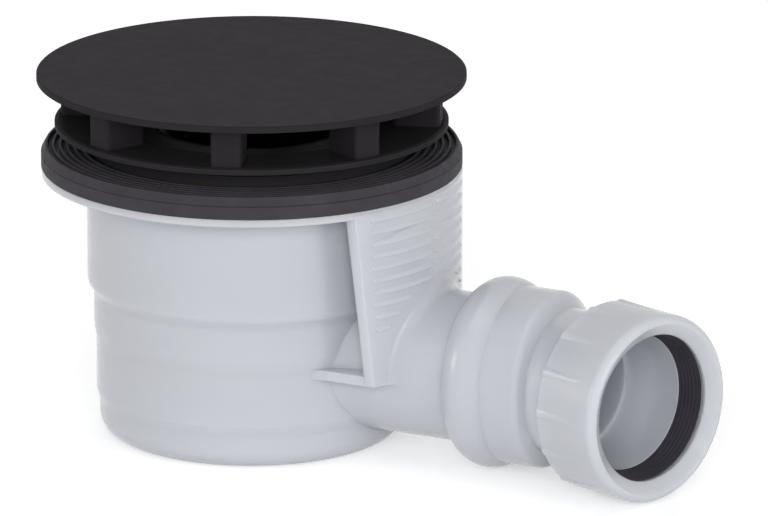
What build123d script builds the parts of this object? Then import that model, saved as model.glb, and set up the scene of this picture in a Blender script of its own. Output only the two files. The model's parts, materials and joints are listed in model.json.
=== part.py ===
from build123d import *
import os
from math import cos, hypot, radians, sin, sqrt

os.makedirs("parts", exist_ok=True)

# Shower trap with a mushroom cover, millimetres, +Z up, base of the trap on z = 0,
# trap axis on Z, outlet stub along +X.

# sizes shared by the whole trap
wall = 2.4
slide_clear = 0.3
seat_clear = 0.2
thread_clear = 0.3

# trap body
body_r = 44.2
top_step_in = 1.7
waist_step_in = 0.6
foot_step_in = 0.8
body_flange_w = 12.0
body_flange_t = 2.0
body_h = 73.6
step_top_z = 42.4
step_low_z = 39.9
waist_z = 26.4
waist_step = 4.0
foot_z = 9.4
foot_step = 3.0
step_round = 3.0
foot_fillet = 6.0
floor_t = 2.5
weir_r = 32.3
weir_wall = 2.0
weir_z = 62.5
water_seal = 50.0
mouth_taper = 3.0

# outlet stub and the ribbed skirt in front of it
outlet_z = 25.9
stub_r = 20.0
outlet_bore_r = 17.0
stub_end = 86.0
root_l = 10.0
root_flare = 4.8
flange_proud = 0.2
skirt_t = 2.4
skirt_top_half = 30.6
skirt_low_half = 25.4
shelf_t = 2.6
shelf_flare_l = 7.5
shelf_flare = 3.4
stub_fillet = 3.5
rib_count = 10
rib_pitch = 3.36
rib_rise = 0.5
rib_crest = 0.25
rib_flank = 1.0
rib_top_z = 70.2
rib_mid = -2.6
rib_band = 2.3
rib_left = 24.0
rib_right = 22.0
rib_taper = 2.6
rib_gap = 1.4
cut_over = 5.0

# tray washers
lower_washer_t = 3.6
upper_washer_t = 2.4
washer_lip = 1.1
washer_lip_h = 2.0
washer_inset = 0.8
ridge_count = 5
ridge_w = 0.6
ridge_h = 1.4

# waste flange and mushroom cover
tray_gap = 5.3
rim_r = 52.7
rim_t = 1.6
rim_cone = 2.9
centring_in = 0.4
barrel_z = 56.0
waste_bore_r = 26.6
dish_drop = 1.7
dish_t = 2.4
cover_r = 57.5
cover_t = 1.8
inlet_h = 11.1
pillar_out_r = 51.1
pillar_w = 8.2
pillar_depth = 12.6
pillar_count = 8
pillar_turn = -24.3
pocket_depth = 0.5

# dip tube
tube_r = 24.2
tube_wall = 1.6
tube_funnel = 2.8
collar_h = 5.6
ring_d = 1.7

# swivel bend, nut and pipe fittings
socket_start = 67.7
bead_r = 25.6
bead_mid = 74.8
bead_end = 80.6
collar_r = 23.75
collar_end = 90.0
shoulder_end = 91.7
shoulder_drop = 0.7
bend_end = 94.9
lip_w = 1.3
lip_grip = 0.5
ring_seat_start = 71.6
ring_seat_end = 78.4
ring_seat_r = 22.8
bend_at = 91.5
bend_angle = -18.5
pipe_r = 18.2
pipe_stop = 8.8
cone_start = 27.6
spigot_end = 29.6
spigot_edge = 0.6
thread_r = 22.4
nut_back = 18.0
nut_front = 38.6
nut_r = 25.3
nut_edge = 0.6
nut_round = 2.2
nut_dish = 2.4
nut_face = 1.0
nut_hole_r = 19.8
grip_count = 14
grip_r = 2.2
grip_rise = 0.45
grip_taper = 1.8
slip_t = 0.8
seal_nose = 27.8

# levels and planes that follow from the sizes
body_mid_r = body_r - top_step_in
body_waist_r = body_mid_r - waist_step_in
body_foot_r = body_waist_r - foot_step_in
body_flange_r = body_r + body_flange_w
mouth_r = body_r - wall
barrel_r = mouth_r - thread_clear
skirt_r = body_flange_r + flange_proud
washer_r = body_flange_r + flange_proud
centring_r = body_r - centring_in
washer_in_r = centring_r + washer_inset
ridge_pitch = (washer_r - washer_lip - ridge_w - washer_in_r) / (ridge_count + 1 / 3)
washer_joint = body_h + lower_washer_t
washer_top = washer_joint + upper_washer_t
rim_under = washer_top + tray_gap
rim_top = rim_under + rim_t
seat_z = rim_top - pocket_depth
cover_under = rim_top + inlet_h
dish_z = rim_top - dish_drop
collar_z = dish_z - collar_h
wall_low = body_h + slide_clear
pillar_mid_r = pillar_out_r - pillar_depth / 2
tube_low = weir_z - water_seal
shelf_low = outlet_z - shelf_t / 2
flange_low = body_h - body_flange_t
root_start = sqrt(body_waist_r ** 2 - (stub_r + root_flare) ** 2) - wall / 3
root_end = root_start + root_l
shelf_in = sqrt(body_waist_r ** 2 - (skirt_low_half + shelf_flare) ** 2) - wall / 3
shelf_root = shelf_in + shelf_flare_l
ledge_r = tube_r + 1.1
socket_r = stub_r + slide_clear
neck_r = stub_r
knee_r = neck_r - 0.2
knee_y = sqrt(knee_r ** 2 - (bend_end - bend_at) ** 2)
nut_bore_r = thread_r + thread_clear
nut_hole_out = nut_front - nut_dish
slip_out = nut_hole_out - nut_face
seal_end = slip_out - slip_t
a = radians(bend_angle)
stub_plane = Plane(origin=(0, 0, outlet_z), x_dir=(1, 0, 0), z_dir=(0, -1, 0))
stub_axis = Axis((0, 0, outlet_z), (1, 0, 0))
bend_plane = Plane(origin=(bend_at, 0, outlet_z), x_dir=(cos(a), sin(a), 0), z_dir=(sin(a), -cos(a), 0))
bend_axis = Axis((bend_at, 0, outlet_z), (cos(a), sin(a), 0))
nut_plane = Plane(origin=bend_plane.origin + bend_plane.x_dir * nut_back,
                  x_dir=(0, 0, 1), z_dir=bend_plane.x_dir)


def on_stub_root(edge):
    """True for an edge where the stub leaves the face of the skirt."""
    marks = [edge @ 0.0, edge @ 0.3, edge @ 0.7, edge @ 1.0]
    near_stub = all(abs(hypot(p.Y, p.Z - outlet_z) - stub_r) < 0.05 for p in marks)
    near_face = all(abs(hypot(p.X, p.Y) - skirt_r) < 0.05 for p in marks)
    return near_stub and near_face


# curved skirt plate with the shelf that closes it below
with BuildPart() as skirt_blank:
    with BuildSketch(Plane.XY.offset(shelf_low)):
        Circle(skirt_r)
        Circle(skirt_r - skirt_t, mode=Mode.SUBTRACT)
    extrude(amount=body_h - body_flange_t / 2 - shelf_low)
    with BuildSketch(Plane.YZ):
        with BuildLine():
            Polyline(
                (-skirt_low_half, shelf_low),
                (skirt_low_half, shelf_low),
                (skirt_top_half, body_h),
                (-skirt_top_half, body_h),
                close=True,
            )
        make_face()
    extrude(amount=skirt_r + cut_over, mode=Mode.INTERSECT)
    with BuildSketch(Plane.XY.offset(shelf_low)):
        Circle(skirt_r - skirt_t / 2)
        with BuildLine():
            Polyline((skirt_r, 0), (skirt_r, skirt_low_half), (shelf_root, skirt_low_half))
            TangentArc((shelf_root, skirt_low_half), (shelf_in, skirt_low_half + shelf_flare), tangent=(-1, 0))
            Line((shelf_in, skirt_low_half + shelf_flare), (shelf_in, 0))
            mirror(about=Plane.XZ)
        make_face(mode=Mode.INTERSECT)
    extrude(amount=shelf_t)

# ridges across the skirt, in one field each side of the plain middle band
with BuildPart() as rib_ridges:
    for i in range(rib_count):
        rib_z = rib_top_z - i * rib_pitch
        with BuildSketch(Plane.XZ):
            with BuildLine():
                Polyline(
                    (skirt_r - rib_rise, rib_z),
                    (skirt_r + rib_rise, rib_z),
                    (skirt_r + rib_rise, rib_z + rib_crest),
                    (skirt_r - rib_rise, rib_z + rib_crest + 2 * rib_flank),
                    close=True,
                )
            make_face()
        revolve(axis=Axis.Z)
    with BuildSketch(Plane.YZ):
        for side, reach in ((-1, rib_left), (1, rib_right)):
            with BuildLine():
                Polyline(
                    (rib_mid + side * rib_band / 2, outlet_z),
                    (rib_mid + side * (reach - rib_taper), outlet_z),
                    (rib_mid + side * reach, body_h),
                    (rib_mid + side * rib_band / 2, body_h),
                    close=True,
                )
            make_face()
        with Locations((0, outlet_z)):
            Circle(stub_r + stub_fillet + rib_gap, mode=Mode.SUBTRACT)
    extrude(amount=skirt_r + cut_over, mode=Mode.INTERSECT)

# trap body: bowl, weir, tray flange, skirt and outlet stub in one moulding
with BuildPart() as trap_body:
    with BuildSketch(Plane.XZ) as bowl_section:
        with BuildLine():
            Polyline(
                (0, 0),
                (body_foot_r, 0),
                (body_foot_r, foot_z),
                (body_waist_r, foot_z + foot_step),
                (body_waist_r, waist_z),
                (body_mid_r, waist_z + waist_step),
                (body_mid_r, step_low_z),
                (body_r, step_top_z),
                (body_r, flange_low),
                (body_flange_r, flange_low),
                (body_flange_r, body_h),
                (0, body_h),
                close=True,
            )
        make_face()
        fillet(bowl_section.vertices().filter_by_position(Axis.Y, foot_z - wall, step_top_z + wall), step_round)
    revolve(axis=Axis.Z)
    fillet(trap_body.edges().filter_by(GeomType.CIRCLE).group_by(Axis.Z)[0], foot_fillet)
    add(skirt_blank.part)
    with BuildSketch(Plane.YZ):
        with Locations((0, outlet_z)):
            Circle(stub_r)
    extrude(amount=stub_end)
    fillet(trap_body.edges().filter_by(on_stub_root), stub_fillet)
    add(rib_ridges.part)
    with BuildSketch(stub_plane):
        with BuildLine():
            TangentArc((root_end, stub_r), (root_start, stub_r + root_flare), tangent=(-1, 0))
            Polyline((root_start, stub_r + root_flare), (root_start, 0), (root_end, 0), (root_end, stub_r))
        make_face()
    revolve(axis=stub_axis)
    with BuildSketch(Plane.XZ):
        with BuildLine():
            Polyline(
                (0, floor_t),
                (body_foot_r - wall - foot_fillet / 2, floor_t),
                (body_foot_r - wall, floor_t + foot_fillet / 2),
                (body_foot_r - wall, foot_z),
                (body_mid_r - wall, waist_z),
                (body_mid_r - wall, step_top_z),
                (mouth_r, step_top_z + mouth_taper),
                (mouth_r, body_h + 1),
                (0, body_h + 1),
                close=True,
            )
        make_face()
    revolve(axis=Axis.Z, mode=Mode.SUBTRACT)
    with BuildSketch(Plane.YZ.offset(weir_r + 1.5)):
        with Locations((0, outlet_z)):
            Circle(outlet_bore_r)
    extrude(amount=stub_end - weir_r, mode=Mode.SUBTRACT)
    with BuildSketch(stub_plane):
        with Locations((socket_start + lip_w + lip_w / 2, stub_r)):
            Rectangle(lip_w + 2 * slide_clear, 2 * (lip_grip + slide_clear))
    revolve(axis=stub_axis, mode=Mode.SUBTRACT)
    with BuildSketch(Plane.XY.offset(floor_t / 2)):
        Circle(weir_r)
        Circle(weir_r - weir_wall, mode=Mode.SUBTRACT)
    extrude(amount=weir_z - floor_t / 2)
    trap_body.part.label = "trap_body"
    export_step(trap_body.part, "parts/trap_body.step")

# plain rubber washer between the tray and the trap body
with BuildPart() as lower_gasket:
    with BuildSketch(Plane.XY.offset(body_h)):
        Circle(washer_r)
        Circle(washer_in_r, mode=Mode.SUBTRACT)
    extrude(amount=lower_washer_t)
    chamfer(lower_gasket.edges().filter_by(GeomType.CIRCLE).group_by(SortBy.RADIUS)[-1], 0.25)
    lower_gasket.part.label = "lower_gasket"
    export_step(lower_gasket.part, "parts/lower_gasket.step")

# rubber washer with ring ridges between the waste flange and the tray
with BuildPart() as upper_gasket:
    with BuildSketch(Plane.XZ):
        with BuildLine():
            Polyline(
                (washer_in_r, washer_joint),
                (washer_r - 0.25, washer_joint),
                (washer_r, washer_joint + 0.25),
                (washer_r, washer_top - washer_lip_h),
                (washer_r - washer_lip, washer_top),
                (washer_r - washer_lip - ridge_w, washer_top),
                (washer_r - washer_lip - ridge_w, washer_top - ridge_h),
                (washer_in_r, washer_top - ridge_h),
                close=True,
            )
        make_face()
        for i in range(ridge_count):
            with Locations((washer_r - washer_lip - ridge_w / 2 - (i + 1) * ridge_pitch, washer_top)):
                Rectangle(ridge_w, (ridge_h + upper_washer_t) / 2, align=(Align.CENTER, Align.MAX))
    revolve(axis=Axis.Z)
    upper_gasket.part.label = "upper_gasket"
    export_step(upper_gasket.part, "parts/upper_gasket.step")

# waste flange: dish with pillar pockets, centring wall, threaded barrel, seat of the dip tube
with BuildPart() as waste_flange:
    with BuildSketch(Plane.XZ):
        with BuildLine():
            Polyline(
                (waste_bore_r, dish_z),
                (pillar_out_r - pillar_depth - 1, rim_top),
                (rim_r - 0.9, rim_top),
                (rim_r, rim_top - 0.4),
                (rim_r, rim_under),
                (centring_r, rim_under - rim_cone),
                (centring_r, wall_low),
                (barrel_r, wall_low),
                (barrel_r, barrel_z),
                (barrel_r - wall, barrel_z),
                (barrel_r - wall, wall_low),
                (centring_r - wall, wall_low + wall),
                (centring_r - wall, dish_z - dish_t / 2),
                (waste_bore_r + wall, dish_z - dish_t),
                (waste_bore_r + wall, collar_z - 2),
                (ledge_r, collar_z - 2),
                (ledge_r, collar_z),
                (waste_bore_r, collar_z),
                close=True,
            )
        make_face()
    revolve(axis=Axis.Z)
    with BuildSketch(Plane.XY.offset(seat_z)):
        with PolarLocations(pillar_mid_r, pillar_count, pillar_turn):
            RectangleRounded(pillar_depth + 2 * slide_clear, pillar_w + 2 * slide_clear, 1.5)
    extrude(amount=2 * pocket_depth, mode=Mode.SUBTRACT)
    waste_flange.part.label = "waste_flange"
    export_step(waste_flange.part, "parts/waste_flange.step")

# mushroom cover on its pillars
with BuildPart() as mushroom_cover:
    with BuildSketch(Plane.XY.offset(cover_under)):
        Circle(cover_r)
    extrude(amount=cover_t)
    chamfer(mushroom_cover.edges().group_by(Axis.Z)[-1], 0.3)
    with BuildSketch(Plane.XY.offset(seat_z)):
        with PolarLocations(pillar_mid_r, pillar_count, pillar_turn):
            RectangleRounded(pillar_depth, pillar_w, 1.2)
    extrude(amount=cover_under + cover_t / 2 - seat_z)
    mushroom_cover.part.label = "mushroom_cover"
    export_step(mushroom_cover.part, "parts/mushroom_cover.step")

# dip tube that hangs in the flange and dips below the weir
with BuildPart() as dip_tube:
    with BuildSketch(Plane.XZ):
        with BuildLine():
            Polyline(
                (tube_r - tube_wall, tube_low),
                (tube_r, tube_low),
                (tube_r, collar_z),
                (waste_bore_r - seat_clear, collar_z),
                (waste_bore_r - seat_clear, dish_z),
                (tube_r - tube_wall + tube_funnel, dish_z),
                (tube_r - tube_wall, dish_z - tube_funnel),
                close=True,
            )
        make_face()
        with Locations((waste_bore_r - seat_clear, collar_z + collar_h / 2)):
            Rectangle(2 * (ring_d - seat_clear + 0.1), ring_d + 0.3, mode=Mode.SUBTRACT)
    revolve(axis=Axis.Z)
    dip_tube.part.label = "dip_tube"
    export_step(dip_tube.part, "parts/dip_tube.step")

# square rubber ring in the groove of the dip tube
with BuildPart() as dip_tube_seal:
    with BuildSketch(Plane.XZ):
        with Locations((waste_bore_r - 0.05 - ring_d / 2, collar_z + collar_h / 2)):
            Rectangle(ring_d - 0.05, ring_d)
    revolve(axis=Axis.Z)
    dip_tube_seal.part.label = "dip_tube_seal"
    export_step(dip_tube_seal.part, "parts/dip_tube_seal.step")

# swivel bend: socket with bead and collar on the stub, slight bend, threaded end for the pipe
with BuildPart() as outlet_bend:
    with BuildSketch(stub_plane):
        with BuildLine():
            TangentArc((bead_mid, bead_r), (socket_start, socket_r), tangent=(-1, 0))
            TangentArc((bead_mid, bead_r), (bead_end, collar_r), tangent=(1, 0))
            Line((bead_end, collar_r), (collar_end, collar_r))
            TangentArc((collar_end, collar_r), (shoulder_end, collar_r - shoulder_drop), tangent=(1, 0))
            Line((shoulder_end, collar_r - shoulder_drop), (bend_end, knee_y))
            RadiusArc((bend_end, knee_y), (bend_at + knee_r, 0), knee_r)
            Polyline((bend_at + knee_r, 0), (socket_start, 0), (socket_start, socket_r))
        make_face()
    revolve(axis=stub_axis)
    with BuildSketch(bend_plane):
        with BuildLine():
            Polyline(
                (0, 0),
                (0, neck_r),
                (nut_back + 0.5, neck_r),
                (nut_back + 2.5, thread_r),
                (spigot_end - spigot_edge, thread_r),
                (spigot_end, thread_r - spigot_edge),
                (spigot_end, 0),
                close=True,
            )
        make_face()
    revolve(axis=bend_axis)
    with BuildSketch(stub_plane):
        with BuildLine():
            Polyline(
                (socket_start - 1, 0),
                (socket_start - 1, socket_r),
                (socket_start + lip_w, socket_r),
                (socket_start + lip_w, stub_r - lip_grip),
                (socket_start + 2 * lip_w, stub_r - lip_grip),
                (socket_start + 2 * lip_w, socket_r),
                (ring_seat_start, socket_r),
                (ring_seat_start, ring_seat_r),
                (ring_seat_end, ring_seat_r),
                (ring_seat_end, socket_r),
                (stub_end + 0.5, socket_r),
                (stub_end + 0.5, outlet_bore_r),
                (bend_at, outlet_bore_r),
                (bend_at, 0),
                close=True,
            )
        make_face()
    revolve(axis=stub_axis, mode=Mode.SUBTRACT)
    with BuildSketch(bend_plane):
        with BuildLine():
            Polyline(
                (0, 0),
                (0, outlet_bore_r),
                (pipe_stop, outlet_bore_r),
                (pipe_stop, pipe_r),
                (cone_start, pipe_r),
                (spigot_end, thread_r - 2 * spigot_edge),
                (spigot_end + 1, thread_r - 2 * spigot_edge),
                (spigot_end + 1, 0),
                close=True,
            )
        make_face()
    revolve(axis=bend_axis, mode=Mode.SUBTRACT)
    with Locations((bend_at, 0, outlet_z)):
        Sphere(outlet_bore_r, mode=Mode.SUBTRACT)
    outlet_bend.part.label = "outlet_bend"
    export_step(outlet_bend.part, "parts/outlet_bend.step")

# rubber ring in the bead of the bend, running on the stub
with BuildPart() as swivel_seal:
    with BuildSketch(stub_plane):
        with BuildLine():
            Polyline(
                (ring_seat_start + 0.2, stub_r + 1.4),
                (ring_seat_start + 1.2, stub_r + seat_clear),
                (ring_seat_end - 1.2, stub_r + seat_clear),
                (ring_seat_end - 0.2, stub_r + 1.4),
                (ring_seat_end - 0.2, ring_seat_r - 0.1),
                (ring_seat_start + 0.2, ring_seat_r - 0.1),
                close=True,
            )
        make_face()
    revolve(axis=stub_axis)
    swivel_seal.part.label = "swivel_seal"
    export_step(swivel_seal.part, "parts/swivel_seal.step")

# compression nut with a dished face and grip ridges
with BuildPart() as compression_nut:
    with BuildSketch(bend_plane):
        with BuildLine():
            Polyline(
                (slip_out, nut_bore_r),
                (nut_back, nut_bore_r),
                (nut_back, nut_r - nut_edge),
                (nut_back + nut_edge, nut_r),
                (nut_front - nut_round, nut_r),
            )
            TangentArc((nut_front - nut_round, nut_r), (nut_front, nut_r - nut_round), tangent=(1, 0))
            Polyline(
                (nut_front, nut_r - nut_round),
                (nut_hole_out, nut_hole_r),
                (slip_out, nut_hole_r),
                (slip_out, nut_bore_r),
            )
        make_face()
    revolve(axis=bend_axis)
    with BuildSketch(nut_plane.offset(nut_edge)):
        with PolarLocations(nut_r + grip_rise - grip_r, grip_count, 180 / grip_count):
            Circle(grip_r)
    extrude(amount=nut_front - nut_back - 2 * nut_round, taper=grip_taper)
    with BuildSketch(nut_plane):
        Circle(nut_bore_r)
    extrude(amount=slip_out - nut_back, mode=Mode.SUBTRACT)
    compression_nut.part.label = "compression_nut"
    export_step(compression_nut.part, "parts/compression_nut.step")

# slip washer under the face of the nut
with BuildPart() as slip_washer:
    with BuildSketch(bend_plane):
        with Locations((slip_out - slip_t / 2, (nut_hole_r + nut_bore_r) / 2)):
            Rectangle(slip_t, nut_bore_r - nut_hole_r - 2 * seat_clear)
    revolve(axis=bend_axis)
    slip_washer.part.label = "slip_washer"
    export_step(slip_washer.part, "parts/slip_washer.step")

# rubber seal that the nut presses into the cone of the bend and round the pipe
with BuildPart() as pipe_seal:
    with BuildSketch(bend_plane):
        with BuildLine():
            Polyline(
                (seal_nose, pipe_r + 0.1),
                (seal_end, nut_hole_r - 0.3),
                (seal_end, nut_bore_r - seat_clear),
                (spigot_end + 0.1, nut_bore_r - seat_clear),
                (spigot_end + 0.1, thread_r - 2 * spigot_edge - seat_clear),
                (seal_nose, pipe_r + 0.2),
                close=True,
            )
        make_face()
    revolve(axis=bend_axis)
    pipe_seal.part.label = "pipe_seal"
    export_step(pipe_seal.part, "parts/pipe_seal.step")
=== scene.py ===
import json
from math import cos, radians, sin, tau

import bpy
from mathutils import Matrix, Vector

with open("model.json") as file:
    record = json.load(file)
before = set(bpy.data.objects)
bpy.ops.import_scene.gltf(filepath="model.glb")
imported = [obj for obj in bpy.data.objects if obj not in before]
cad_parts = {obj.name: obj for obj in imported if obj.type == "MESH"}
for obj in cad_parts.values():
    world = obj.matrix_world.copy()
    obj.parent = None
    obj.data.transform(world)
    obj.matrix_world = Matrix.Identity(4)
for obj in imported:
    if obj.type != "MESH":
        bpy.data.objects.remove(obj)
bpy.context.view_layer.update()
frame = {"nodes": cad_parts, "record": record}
cad_nodes = frame["nodes"]

# one millimetre in metres, the unit of the scene
MM = 0.001

# the photograph's frame and viewpoint, angles in degrees
IMAGE_WIDTH = 768
MM_PER_PIXEL = 0.2677
VIEW_AZIMUTH = 28.5
VIEW_ELEVATION = 15.5
VIEW_DISTANCE = 3.0
VIEW_PIVOT = Vector((0.0, 0.0, 71.8 * MM))
AIM_RIGHT = 35.3 * MM
AIM_DOWN = 23.7 * MM
SENSOR_MM = 36.0

# white surroundings: strength as a light, and strength where they are seen
WORLD_LIGHT = 0.38
WORLD_SEEN = 1.0
FLOOR_LIFT = 0.43
FLOOR_HALF = 4.0

# range of the noise that runs from the dark to the light tint
TINT_START = 0.3
TINT_END = 0.7

# cosine between the rounded and the true normal, where the painted edge highlight starts and where it is
# full
HIGHLIGHT_START = 0.99
HIGHLIGHT_FULL = 0.85

# moulded surfaces
EDGE_SAMPLES = 6
PATCHES_PER_CLOUD = 4
GRAIN_STRENGTH = 0.5
GLOW_WEIGHT = 0.7

# ring lines in the rubber of the outlet
RING_DEPTH_MM = 0.07
RING_STRENGTH = 0.6

# axis of the bent outlet, from the way the waste pipe leaves it
mounts = {mount["name"]: mount for mount in frame["record"]["mounts"]}
PIPE_AXIS = mounts["waste_pipe"]["axis"]


def add(tree, kind, **values):
    """New shader node with the given input values, named with _ for a space."""
    node = tree.nodes.new(kind)
    for key, value in values.items():
        node.inputs[key.replace("_", " ")].default_value = value
    return node


def noise(tree, coordinates, size_mm, detail=3.0, roughness=0.55):
    """Noise whose lumps are about size_mm across."""
    node = add(tree, "ShaderNodeTexNoise", Scale=1.0 / (size_mm * MM), Detail=detail, Roughness=roughness)
    tree.links.new(coordinates, node.inputs["Vector"])
    return node.outputs["Fac"]


def spread(tree, value, low, high, start=0.35, end=0.65):
    """Maps a value from start..end to low..high. The defaults are where most of a noise lies."""
    node = add(tree, "ShaderNodeMapRange", From_Min=start, From_Max=end, To_Min=low, To_Max=high)
    tree.links.new(value, node.inputs["Value"])
    return node.outputs["Result"]


def tint(tree, value, dark, light):
    """Colour between two tints, by a noise value."""
    node = tree.nodes.new("ShaderNodeValToRGB")
    first, last = node.color_ramp.elements
    first.position = TINT_START
    first.color = (*dark, 1.0)
    last.position = TINT_END
    last.color = (*light, 1.0)
    tree.links.new(value, node.inputs["Fac"])
    return node.outputs["Color"]


def bump(tree, height, depth_mm, strength, normal):
    """Bump of the given depth over another normal."""
    node = add(tree, "ShaderNodeBump", Strength=strength, Distance=depth_mm * MM)
    tree.links.new(height, node.inputs["Height"])
    tree.links.new(normal, node.inputs["Normal"])
    return node.outputs["Normal"]


def dot_product(tree, first):
    """Node that takes the dot product of a vector and its second input."""
    node = tree.nodes.new("ShaderNodeVectorMath")
    node.operation = "DOT_PRODUCT"
    tree.links.new(first, node.inputs[0])
    return node


def paint_edge_highlight(tree, colour, edge_highlight_tint, rounded_normal):
    """Colour that turns to a painted highlight tint where the rounded edges leave the true surface."""
    alike = dot_product(tree, tree.nodes.new("ShaderNodeNewGeometry").outputs["Normal"])
    tree.links.new(rounded_normal, alike.inputs[1])
    share = spread(tree, alike.outputs["Value"], 0.0, 1.0, start=HIGHLIGHT_START, end=HIGHLIGHT_FULL)
    mix = add(tree, "ShaderNodeMixRGB", Color2=(*edge_highlight_tint, 1.0))
    tree.links.new(share, mix.inputs["Fac"])
    tree.links.new(colour, mix.inputs["Color1"])
    return mix.outputs["Color"]


def plastic(
    name, dark, light, gloss, specular, cloud_mm, grain_mm, grain_depth, edge_mm, glow_mm=None, edge_highlight_tint=None,
):
    """Moulded plastic: cloudy tint, uneven gloss, fine grain, edges rounded as a mould leaves them.

    Light spreads about glow_mm deep in it, and a painted highlight lightens its rounded edges to the given
    tint, where these are given.
    """
    material = bpy.data.materials.new(name)
    material.use_nodes = True
    tree = material.node_tree
    shader = tree.nodes["Principled BSDF"]
    shader.inputs["Specular IOR Level"].default_value = specular
    if glow_mm:
        shader.inputs["Subsurface Weight"].default_value = GLOW_WEIGHT
        shader.inputs["Subsurface Radius"].default_value = (1.0, 1.0, 1.0)
        shader.inputs["Subsurface Scale"].default_value = glow_mm * MM
    place = tree.nodes.new("ShaderNodeTexCoord").outputs["Object"]
    colour = tint(tree, noise(tree, place, cloud_mm), dark, light)
    patches = noise(tree, place, cloud_mm / PATCHES_PER_CLOUD, detail=5.0)
    tree.links.new(spread(tree, patches, *gloss), shader.inputs["Roughness"])
    edge = add(tree, "ShaderNodeBevel", Radius=edge_mm * MM)
    edge.samples = EDGE_SAMPLES
    rounded_normal = edge.outputs["Normal"]
    # painted highlight: a lighter tint on the rounded edges, standing in for the gloss they catch
    if edge_highlight_tint:
        colour = paint_edge_highlight(tree, colour, edge_highlight_tint, rounded_normal)
    tree.links.new(colour, shader.inputs["Base Color"])
    grain = noise(tree, place, grain_mm, detail=2.0)
    grained = bump(tree, grain, grain_depth, GRAIN_STRENGTH, rounded_normal)
    tree.links.new(grained, shader.inputs["Normal"])
    return material


def rubber(name, dark, light, ring_mm=None):
    """Matt rubber with a fine bloom, and moulded ring lines round the outlet where ring_mm is given."""
    material = plastic(
        name, dark, light, gloss=(0.62, 0.8), specular=0.22,
        cloud_mm=9.0, grain_mm=0.25, grain_depth=0.02, edge_mm=0.15,
    )
    if ring_mm:
        add_rings(material.node_tree, ring_mm)
    return material


def add_rings(tree, ring_mm):
    """Adds ring lines, ring_mm apart along the outlet's axis, to the normal of a material."""
    normal_input = tree.nodes["Principled BSDF"].inputs["Normal"]
    along = dot_product(tree, tree.nodes.new("ShaderNodeTexCoord").outputs["Object"])
    along.inputs[1].default_value = [part * tau / (ring_mm * MM) for part in PIPE_AXIS]
    rings = tree.nodes.new("ShaderNodeMath")
    rings.operation = "SINE"
    tree.links.new(along.outputs["Value"], rings.inputs[0])
    grained = normal_input.links[0].from_socket
    ringed = bump(tree, rings.outputs["Value"], RING_DEPTH_MM, RING_STRENGTH, grained)
    tree.links.new(ringed, normal_input)


def dress(names, material):
    """Gives a material to CAD nodes."""
    for name in names:
        piece = cad_nodes[name]
        piece.data.materials.clear()
        piece.data.materials.append(material)


white = plastic(
    "white_plastic", dark=(0.55, 0.567, 0.61), light=(0.565, 0.582, 0.625),
    gloss=(0.14, 0.19), specular=0.5,
    cloud_mm=30.0, grain_mm=3.0, grain_depth=0.004, edge_mm=0.3, glow_mm=6.0,
)
cover_black = plastic(
    "cover_black", dark=(0.0212, 0.0182, 0.0212), light=(0.0242, 0.0212, 0.0242),
    gloss=(0.7, 0.76), specular=0.08,
    cloud_mm=20.0, grain_mm=0.4, grain_depth=0.01, edge_mm=0.25,
)
# the flange's rounded edges get a painted highlight, a lighter tint where gloss would catch
flange_black = plastic(
    "flange_black", dark=(0.023, 0.021, 0.023), light=(0.027, 0.025, 0.027),
    gloss=(0.5, 0.58), specular=0.012,
    cloud_mm=14.0, grain_mm=0.5, grain_depth=0.003, edge_mm=0.3, edge_highlight_tint=(0.06, 0.055, 0.06),
)
tube_black = plastic(
    "tube_black", dark=(0.004, 0.004, 0.004), light=(0.006, 0.006, 0.006),
    gloss=(0.5, 0.58), specular=0.03,
    cloud_mm=14.0, grain_mm=0.5, grain_depth=0.003, edge_mm=0.3,
)
gasket_rubber = rubber("gasket_rubber", dark=(0.039, 0.036, 0.043), light=(0.051, 0.047, 0.055))
seal_rubber = rubber("seal_rubber", dark=(0.033, 0.030, 0.039), light=(0.045, 0.041, 0.052), ring_mm=1.1)

dress(["trap_body", "outlet_bend", "compression_nut", "slip_washer"], white)
dress(["mushroom_cover"], cover_black)
dress(["waste_flange"], flange_black)
dress(["dip_tube"], tube_black)
dress(["upper_gasket", "lower_gasket"], gasket_rubber)
dress(["pipe_seal", "swivel_seal", "dip_tube_seal"], seal_rubber)


def seen_directly(tree):
    """1 for rays from the camera, from a reflection or through glass, otherwise 0."""
    path = tree.nodes.new("ShaderNodeLightPath")
    total = path.outputs["Is Camera Ray"]
    for name in ("Is Glossy Ray", "Is Transmission Ray"):
        larger = tree.nodes.new("ShaderNodeMath")
        larger.operation = "MAXIMUM"
        tree.links.new(total, larger.inputs[0])
        tree.links.new(path.outputs[name], larger.inputs[1])
        total = larger.outputs["Value"]
    return total


def make_floor():
    """Wide white floor that keeps the shadow of the trap."""
    mesh = bpy.data.meshes.new("floor")
    corners = [(x * FLOOR_HALF, y * FLOOR_HALF, 0) for x, y in ((-1, -1), (1, -1), (1, 1), (-1, 1))]
    mesh.from_pydata(corners, [], [(0, 1, 2, 3)])
    floor = bpy.data.objects.new("floor", mesh)
    bpy.context.collection.objects.link(floor)
    material = bpy.data.materials.new("floor_white")
    material.use_nodes = True
    tree = material.node_tree
    shader = tree.nodes["Principled BSDF"]
    shader.inputs["Base Color"].default_value = (0.9, 0.9, 0.9, 1.0)
    shader.inputs["Roughness"].default_value = 0.9
    shader.inputs["Specular IOR Level"].default_value = 0.1
    shader.inputs["Emission Color"].default_value = (1.0, 1.0, 1.0, 1.0)
    lift = spread(tree, seen_directly(tree), 0.0, FLOOR_LIFT, start=0.0, end=1.0)
    tree.links.new(lift, shader.inputs["Emission Strength"])
    mesh.materials.append(material)


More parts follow.
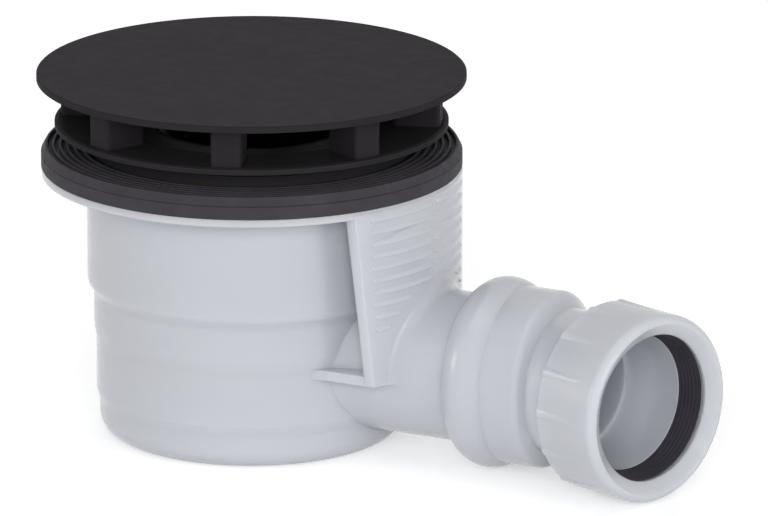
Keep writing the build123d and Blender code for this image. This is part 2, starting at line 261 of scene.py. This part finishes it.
def make_world():
    """Even soft light from all round, white where it is seen."""
    world = bpy.data.worlds.new("studio")
    bpy.context.scene.world = world
    world.use_nodes = True
    tree = world.node_tree
    background = tree.nodes["Background"]
    background.inputs["Color"].default_value = (1.0, 1.0, 1.0, 1.0)
    strength = spread(tree, seen_directly(tree), WORLD_LIGHT, WORLD_SEEN, start=0.0, end=1.0)
    tree.links.new(strength, background.inputs["Strength"])


def direction(azimuth, elevation):
    """Unit vector from the trap towards a place at these angles in degrees."""
    a = radians(azimuth)
    e = radians(elevation)
    return Vector((sin(a) * cos(e), -cos(a) * cos(e), sin(e)))


def place_and_aim(item, location, target):
    """Puts a lamp or camera at a location and turns it to look at the target."""
    bpy.context.collection.objects.link(item)
    item.location = location
    item.rotation_euler = (target - location).to_track_quat("-Z", "Y").to_euler()


def make_lamp(name, azimuth, elevation, distance, size, watts, mirrored=True):
    """Square soft lamp that looks at the trap, and shows in glossy surfaces where mirrored."""
    data = bpy.data.lights.new(name, "AREA")
    data.size = size
    data.energy = watts
    lamp = bpy.data.objects.new(name, data)
    lamp.visible_glossy = mirrored
    place_and_aim(lamp, VIEW_PIVOT + direction(azimuth, elevation) * distance, VIEW_PIVOT)


def make_camera():
    """Camera at the photograph's viewpoint, aimed so that the trap lies where the photograph has it."""
    away = direction(VIEW_AZIMUTH, VIEW_ELEVATION)
    right = direction(VIEW_AZIMUTH + 90.0, 0.0)
    up = away.cross(right)
    data = bpy.data.cameras.new("camera")
    data.sensor_width = SENSOR_MM
    data.lens = SENSOR_MM * VIEW_DISTANCE / (IMAGE_WIDTH * MM_PER_PIXEL * MM)
    data.clip_end = 50.0
    camera = bpy.data.objects.new("camera", data)
    target = VIEW_PIVOT + right * AIM_RIGHT - up * AIM_DOWN
    place_and_aim(camera, VIEW_PIVOT + away * VIEW_DISTANCE, target)
    bpy.context.scene.camera = camera


make_floor()
make_world()
make_lamp("front_lamp", azimuth=27, elevation=18, distance=2.6, size=1.0, watts=32, mirrored=False)
make_lamp("left_lamp", azimuth=-50, elevation=14, distance=2.4, size=0.7, watts=6)
make_lamp("right_lamp", azimuth=75, elevation=10, distance=2.4, size=1.3, watts=13)
make_lamp("back_lamp", azimuth=205, elevation=20, distance=2.6, size=1.8, watts=14, mirrored=False)
make_lamp("top_lamp", azimuth=0, elevation=80, distance=2.4, size=1.2, watts=4)
make_camera()
bpy.context.scene.view_settings.view_transform = "Standard"
